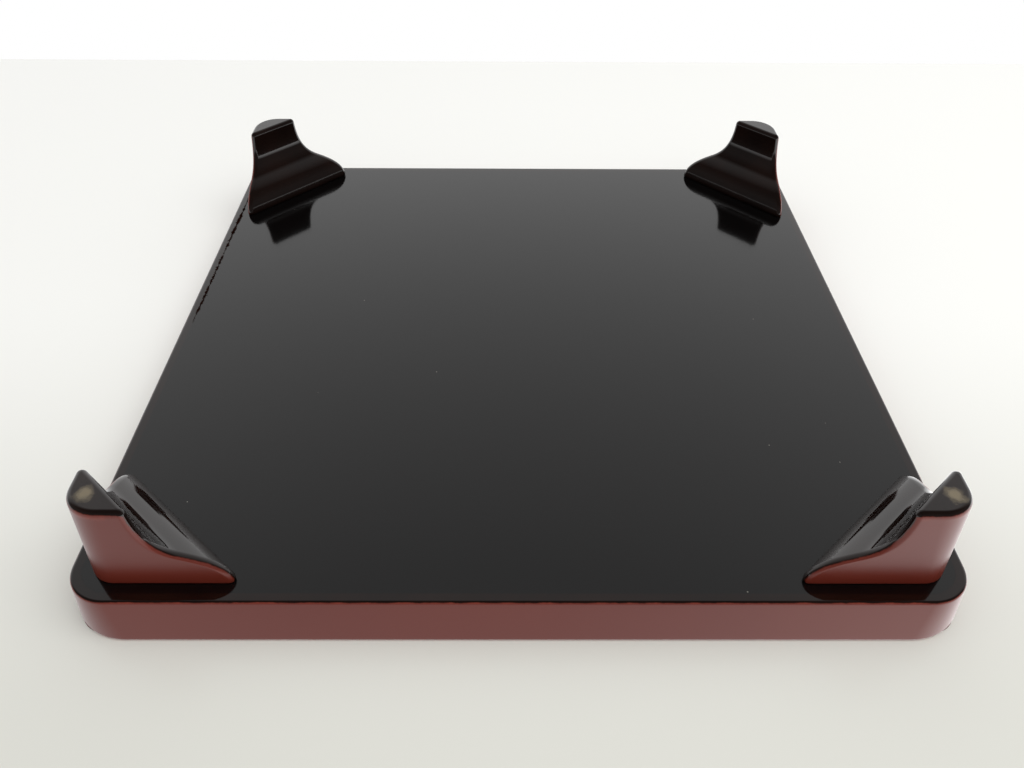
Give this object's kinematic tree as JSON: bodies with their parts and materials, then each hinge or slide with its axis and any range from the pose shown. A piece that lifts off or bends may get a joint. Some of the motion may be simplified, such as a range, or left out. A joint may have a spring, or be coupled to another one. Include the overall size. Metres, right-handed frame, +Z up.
{
  "type": "legged meal tray",
  "caption": "Square lacquered meal tray with a low flared rim, rounded corners and short corner legs with ogee inner faces.",
  "frame": {"origin": "floor level under the tray's centre, on the plane of the feet", "axes": "+Z up, through the tray; +X right and +Y back, along the sides"},
  "size_m": [0.364, 0.364, 0.062],
  "materials": {
    "rim_lacquer": "gloss red-brown lacquer over wood",
    "underside_lacquer": "polished black lacquer over wood",
    "leg_lacquer": "black lacquer inside and red-brown outside, over wood",
    "bare_wood": "unfinished, inside the joints"
  },
  "bodies": {
    "root": {"base_board": "underside_lacquer", "rim_right": "rim_lacquer", "rim_back": "rim_lacquer", "rim_left": "rim_lacquer", "rim_front": "rim_lacquer", "leg_back_right": "leg_lacquer", "leg_back_left": "leg_lacquer", "leg_front_left": "leg_lacquer", "leg_front_right": "leg_lacquer", "leg_dowel_back_right_1": "bare_wood", "leg_dowel_back_right_2": "bare_wood", "mitre_key_back_right": "bare_wood", "leg_dowel_back_left_1": "bare_wood", "leg_dowel_back_left_2": "bare_wood", "mitre_key_back_left": "bare_wood", "leg_dowel_front_left_1": "bare_wood", "leg_dowel_front_left_2": "bare_wood", "mitre_key_front_left": "bare_wood", "leg_dowel_front_right_1": "bare_wood", "leg_dowel_front_right_2": "bare_wood", "mitre_key_front_right": "bare_wood", "rim_peg_right_1": "bare_wood", "rim_peg_right_2": "bare_wood", "rim_peg_back_1": "bare_wood", "rim_peg_back_2": "bare_wood", "rim_peg_left_1": "bare_wood", "rim_peg_left_2": "bare_wood", "rim_peg_front_1": "bare_wood", "rim_peg_front_2": "bare_wood"}
  },
  "joints": []
}
